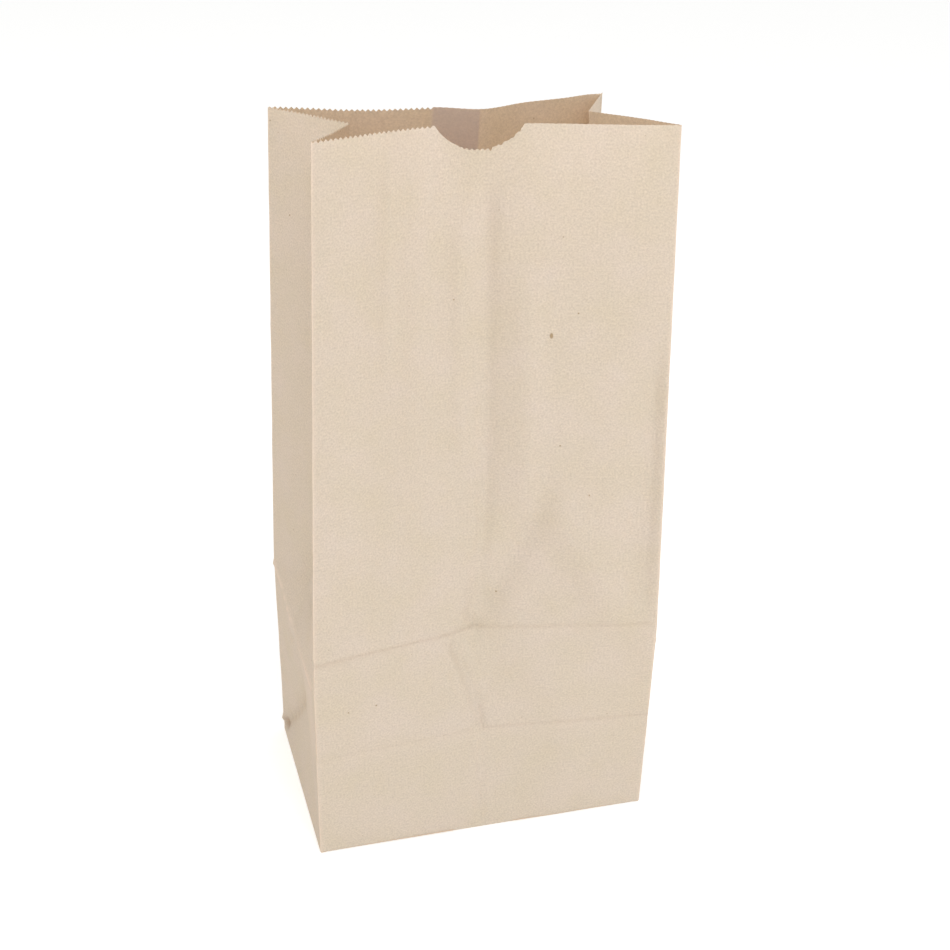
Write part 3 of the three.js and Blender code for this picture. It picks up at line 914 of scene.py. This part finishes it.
    # Folded edges are lighter, partly from wear and partly painted highlight, the ridges and strips below
    # the creases carry painted highlight, and creases, valleys and the open corner carry painted shade.
    highlight_share = add_node(tree, "ShaderNodeMath", {"operation": "MULTIPLY", 1: 0.5},
                          {0: wear_highlight.outputs["Fac"]})
    highlighted = add_node(tree, "ShaderNodeMix", {"data_type": "RGBA", OVER: finish.highlight_and_wear_colour},
                    {"Factor": highlight_share.outputs["Value"], UNDER: flecked.outputs[MIXED]})
    painted_shade_share = add_node(tree, "ShaderNodeMath", {"operation": "MULTIPLY", 1: 0.4},
                             {0: painted_shade_attr.outputs["Fac"]})
    shade_painted = add_node(tree, "ShaderNodeMix", {"data_type": "RGBA", OVER: finish.painted_shade_colour},
                       {"Factor": painted_shade_share.outputs["Value"], UNDER: highlighted.outputs[MIXED]})
    # The glued lap is greyer, and the face inside the bag is a little yellower.
    face_shade = add_node(tree, "ShaderNodeMapRange",
                          {"To Min": LAP_SHADE_OUTSIDE, "To Max": LAP_SHADE_INSIDE},
                          {"Value": inner.outputs["Fac"]})
    lap_share = add_node(tree, "ShaderNodeMath", {"operation": "MULTIPLY"},
                         {0: lap.outputs["Fac"], 1: face_shade.outputs["Result"]})
    lapped = add_node(tree, "ShaderNodeMix", {"data_type": "RGBA", OVER: finish.lap_tint},
                      {"Factor": lap_share.outputs["Value"], UNDER: shade_painted.outputs[MIXED]})
    faced = add_node(tree, "ShaderNodeMix",
                     {"data_type": "RGBA", "blend_type": "MULTIPLY", OVER: finish.inner_tint},
                     {"Factor": inner.outputs["Fac"], UNDER: lapped.outputs[MIXED]})
    tree.links.new(faced.outputs[MIXED], shader.inputs["Base Color"])
    # The grain is felt as a very shallow roughness.
    grain_noise = add_node(tree, "ShaderNodeTexNoise",
                           {"Scale": 1 / FELT_GRAIN, "Detail": 2.0, "Roughness": 0.65}, place)
    bump = add_node(tree, "ShaderNodeBump", {"Strength": 0.25, "Distance": 0.0001},
                    {"Height": grain_noise.outputs["Fac"]})
    tree.links.new(bump.outputs["Normal"], shader.inputs["Normal"])
    return material


# ---------------------------------------------------------------------------------------------------
# Stage.

# The camera stands a little to the left and looks down on the bag. Its place is in metres.
CAMERA_PLACE = (-0.1419, -0.5332, 0.3927)
CAMERA_TURN = math.radians(-15.61)
CAMERA_DIP = math.radians(25.09)
CAMERA_ROLL = math.radians(0.62)
CAMERA_LENS = 59.92


def place_camera():
    """A camera turned to the right, dipped and rolled, in that order."""
    camera = bpy.data.objects.new("camera", bpy.data.cameras.new("camera"))
    camera.data.lens = CAMERA_LENS
    camera.data.sensor_width = 36
    camera.data.clip_start = 0.01
    camera.data.clip_end = 50
    turn = Matrix.Rotation(CAMERA_TURN, 4, "Z") @ Matrix.Rotation(math.pi / 2 - CAMERA_DIP, 4, "X")
    camera.matrix_world = Matrix.Translation(CAMERA_PLACE) @ turn @ Matrix.Rotation(CAMERA_ROLL, 4, "Z")
    bpy.context.scene.collection.objects.link(camera)
    bpy.context.scene.camera = camera


def add_softbox(name, place, target, size, power, colour):
    """A square soft light that faces its target."""
    light = bpy.data.objects.new(name, bpy.data.lights.new(name, "AREA"))
    light.data.shape = "SQUARE"
    light.data.size = size
    light.data.energy = power
    light.data.color = colour[:3]
    aim = Vector(target) - Vector(place)
    light.matrix_world = Matrix.Translation(place) @ aim.to_track_quat("-Z", "Y").to_matrix().to_4x4()
    bpy.context.scene.collection.objects.link(light)


FLOOR_LEVEL = -0.00003


def lay_floor(look):
    """Backdrop paper on a light table, a hair below the bag so that the two don't share a plane."""
    mesh = bpy.data.meshes.new("studio_floor")
    reach = look.floor_reach
    corners = [(x * reach, y * reach, FLOOR_LEVEL) for x, y in ((-1, -1), (1, -1), (1, 1), (-1, 1))]
    mesh.from_pydata(corners, [], [(0, 1, 2, 3)])
    floor = bpy.data.objects.new("studio_floor", mesh)
    material = bpy.data.materials.new("pale_matt_backdrop_paper")
    material.use_nodes = True
    shader = material.node_tree.nodes["Principled BSDF"]
    shader.inputs["Base Color"].default_value = look.floor_colour
    shader.inputs["Roughness"].default_value = 0.95
    shader.inputs["Specular IOR Level"].default_value = 0.1
    shader.inputs["Emission Color"].default_value = look.tent_colour
    shader.inputs["Emission Strength"].default_value = look.floor_glow
    mesh.materials.append(material)
    bpy.context.scene.collection.objects.link(floor)


def light_world(look):
    """A light tent all round the stage."""
    world = bpy.data.worlds.new("studio_tent")
    world.use_nodes = True
    background = world.node_tree.nodes["Background"]
    background.inputs["Color"].default_value = look.tent_colour
    background.inputs["Strength"].default_value = look.tent_strength
    bpy.context.scene.world = world


# ---------------------------------------------------------------------------------------------------
# Add-on.

def length_property(name, description, millimetres):
    """A length that the user can change, with its default in millimetres."""
    return bpy.props.FloatProperty(
        name=name, description=description, default=millimetres * MM, unit="LENGTH", precision=5)


def colour_property(name, description, colour):
    """A colour that the user can change, with its default as sRGB hex."""
    return bpy.props.FloatVectorProperty(
        name=name, description=description, default=to_linear(colour),
        subtype="COLOR", size=4, min=0, max=1)


def power_property(name, description, watts):
    """A light's power that the user can change."""
    return bpy.props.FloatProperty(name=name, description=description, default=watts, unit="POWER")


class BagSize(bpy.types.PropertyGroup):
    """Sizes of the folded bag"""

    width: length_property("Width", "Width of the front and back panel", WIDTH)
    depth: length_property("Depth", "Depth of the gusseted sides", DEPTH)
    height: length_property("Height", "Height of the sheet above the bottom fold", HEIGHT)
    paper: length_property("Paper", "Thickness of the paper", 0.11)
    tooth_pitch: length_property("Tooth Pitch", "Pitch of the saw-cut edge", 1.96)
    tooth_height: length_property("Tooth Height", "Height of the saw-cut teeth", 0.85)
    notch_depth: length_property("Notch Depth", "Depth of the thumb notch", 8.2)


class PaperFinish(bpy.types.PropertyGroup):
    """Colours of the kraft paper"""

    paper_pink: colour_property("Paper, Pinkish", "Pinkish clouds of the pulp", "#D4CCC0")
    paper_yellow: colour_property("Paper, Yellowish", "Yellowish clouds of the pulp", "#D0C9B8")
    # The colour of the folds' lighter line: partly wear, partly painted highlight.
    highlight_and_wear_colour: colour_property("Wear and Highlight", "Broken fibres along the folds", "#E9DBCC")
    # The colour of the painted shade in creases, valleys and the open bottom corner.
    painted_shade_colour: colour_property("Painted Shade", "Closed fibres in the bottom of a crease", "#8C6E50")
    speck: colour_property("Speck", "Flecks of bark in the pulp", "#94805F")
    inner_tint: colour_property("Inner Tint", "Tints the inner face", "#FFFBF4")
    lap_tint: colour_property("Glued Lap", "Greyer shade of the back seam's two plies", "#E4DAE0")
    held_to_light: colour_property("Held to Light", "Light that falls through the sheet", "#FFE6CC")
    translucence: bpy.props.FloatProperty(
        name="Translucence", description="Share of light that goes through", default=0.34,
        min=0, max=1, subtype="FACTOR")


class StageLook(bpy.types.PropertyGroup):
    """Floor and light of the studio"""

    floor_colour: colour_property("Floor", "Backdrop paper under the bag", "#FBFBFA")
    floor_glow: bpy.props.FloatProperty(
        name="Floor Glow", description="Light coming up through the backdrop", default=0.2, min=0)
    floor_reach: length_property("Floor Reach", "Half the floor's side", 9000)
    tent_colour: colour_property("Tent", "Light tent round the stage", "#FFFFFF")
    tent_strength: bpy.props.FloatProperty(
        name="Tent Strength", description="Brightness of the light tent", default=0.77, min=0)
    key_power: power_property("Key Light", "Softbox high in front", 16.5)
    low_power: power_property("Low Light", "Low reflector on the right", 2)
    left_power: power_property("Left Light", "Warm softbox on the left", 4.5)


class LUNCHBAG_OT_paper_bag(bpy.types.Operator):
    """Fold the bag out of one kraft paper sheet"""

    bl_idname = "lunch_bag.paper_bag"
    bl_label = "Paper Bag"

    def execute(self, context):
        bag = bpy.data.objects.new("kraft_paper_bag", paper_mesh(context.scene.bag_size))
        bag.data.materials.append(kraft_paper(context.scene.paper_finish))
        context.scene.collection.objects.link(bag)
        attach(bag, "root")
        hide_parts(CAD_NODE)
        return {"FINISHED"}


class LUNCHBAG_OT_stage(bpy.types.Operator):
    """Set the camera, the pale floor and the soft light"""

    bl_idname = "lunch_bag.stage"
    bl_label = "Stage"

    def execute(self, context):
        look = context.scene.stage_look
        place_camera()
        lay_floor(look)
        light_world(look)
        white = to_linear("#FFFFFF")
        warm = to_linear("#FFF2E0")
        add_softbox("key_softbox", (-0.2, -1.5, 1.5), (0, 0, 0.15), 1.2, look.key_power, white)
        add_softbox("low_reflector", (0.55, -0.8, 0.12), (0.06, -0.04, 0.06), 0.4, look.low_power, white)
        add_softbox("left_softbox", (-1.5, 0.3, 0.5), (0, 0, 0.12), 0.9, look.left_power, warm)
        context.scene.view_settings.view_transform = "Standard"
        return {"FINISHED"}


class LUNCHBAG_PT_panel(bpy.types.Panel):
    """Lists the bag's operators and sizes"""

    bl_idname = "LUNCHBAG_PT_panel"
    bl_label = "Lunch Bag"
    bl_space_type = "VIEW_3D"
    bl_region_type = "UI"
    bl_category = "Lunch Bag"

    def draw(self, context):
        for group in (context.scene.bag_size, context.scene.paper_finish, context.scene.stage_look):
            for name in group.bl_rna.properties.keys():
                if name not in ("rna_type", "name"):
                    self.layout.prop(group, name)
        for operator in OPERATORS:
            self.layout.operator(operator.bl_idname)


GROUPS = {"bag_size": BagSize, "paper_finish": PaperFinish, "stage_look": StageLook}
OPERATORS = (LUNCHBAG_OT_stage, LUNCHBAG_OT_paper_bag)


def register():
    for cls in (*GROUPS.values(), *OPERATORS, LUNCHBAG_PT_panel):
        bpy.utils.register_class(cls)
    for name, group in GROUPS.items():
        setattr(bpy.types.Scene, name, bpy.props.PointerProperty(type=group))


def unregister():
    for name in GROUPS:
        delattr(bpy.types.Scene, name)
    for cls in (LUNCHBAG_PT_panel, *reversed(OPERATORS), *reversed(GROUPS.values())):
        bpy.utils.unregister_class(cls)


def main():
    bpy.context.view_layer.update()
    register()
    bpy.ops.lunch_bag.stage()
    bpy.ops.lunch_bag.paper_bag()


if __name__ == "__main__":
    main()
